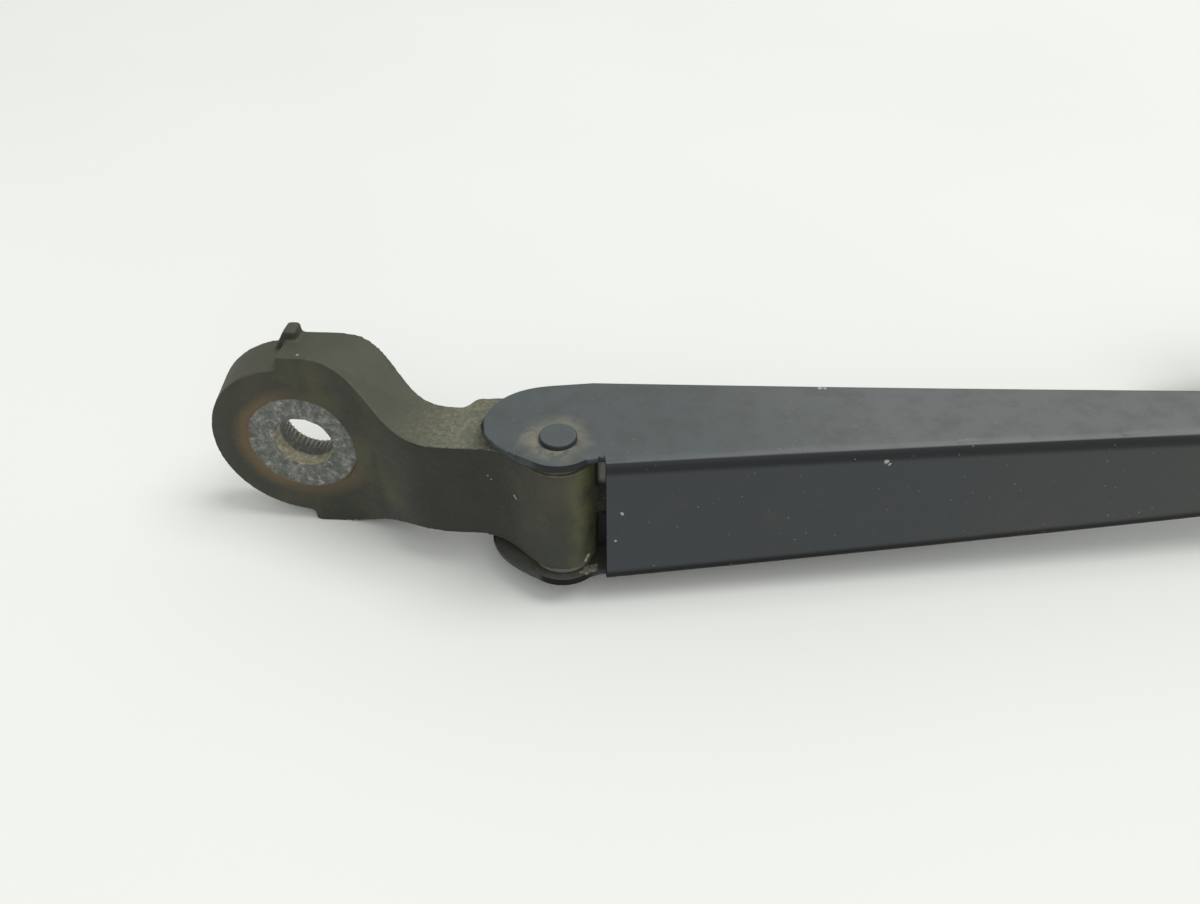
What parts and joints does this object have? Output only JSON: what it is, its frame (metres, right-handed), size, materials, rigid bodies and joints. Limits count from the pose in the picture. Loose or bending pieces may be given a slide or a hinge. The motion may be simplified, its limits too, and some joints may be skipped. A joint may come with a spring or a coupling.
{
  "type": "rear wiper arm with blade",
  "caption": "Car rear wiper: worn cast pivot head, pressed steel arm hinged on a rivet and pulled to the glass by a spring, with a plain moulded blade on its hook.",
  "frame": {"origin": "centre of the spindle bore on the bare nut seat of the pivot head", "axes": "+X along the wiper from the spindle to the blade, -Y out of the nut side, +Y to the glass, +Z along the hinge rivet; the wiper lies on its side"},
  "size_m": [0.4743, 0.1134, 0.0346],
  "materials": {
    "head": "worn black paint on a zinc casting",
    "arm_paint": "satin black paint",
    "steel": "dull steel",
    "plastic": "black nylon",
    "blade_plastic": "matt black moulding",
    "rubber": "black rubber"
  },
  "bodies": {
    "head": {"pivot_head": "head", "hinge_bush_upper": "plastic", "hinge_bush_lower": "plastic", "spring_pin": "steel"},
    "arm": {"arm_channel": "arm_paint", "hinge_rivet": "arm_paint", "tension_spring": "steel", "arm_bar": "arm_paint", "bar_rivet_1": "arm_paint", "bar_rivet_2": "arm_paint", "blade_clip": "plastic"},
    "link": {"spring_link": "steel"},
    "blade": {"blade_frame": "blade_plastic", "blade_pin": "steel", "wiper_rubber": "rubber", "rubber_rail_upper": "steel", "rubber_rail_lower": "steel"}
  },
  "joints": [
    {"name": "arm_lift", "type": "hinge", "parent": "head", "child": "arm", "pos_m": [0.0425, -0.0111, 0], "axis": [0, 0, -1], "range_deg": [0, 65], "stiffness_Nm_per_rad": 0.25, "springref_deg": -57.3, "deforming": ["tension_spring"]},
    {"name": "link_swing", "type": "hinge", "parent": "head", "child": "link", "pos_m": [0.0415, -0.0019, 0], "axis": [0, 0, -1], "range_deg": [0, 62]},
    {"name": "blade_rock", "type": "hinge", "parent": "arm", "child": "blade", "pos_m": [0.31395, 0.03885, 0], "axis": [0, 0, 1], "range_deg": [-15, 6]}
  ],
  "couplings": [
    {"joint": "link_swing", "follows": "arm_lift", "ratio": 0.948}
  ]
}
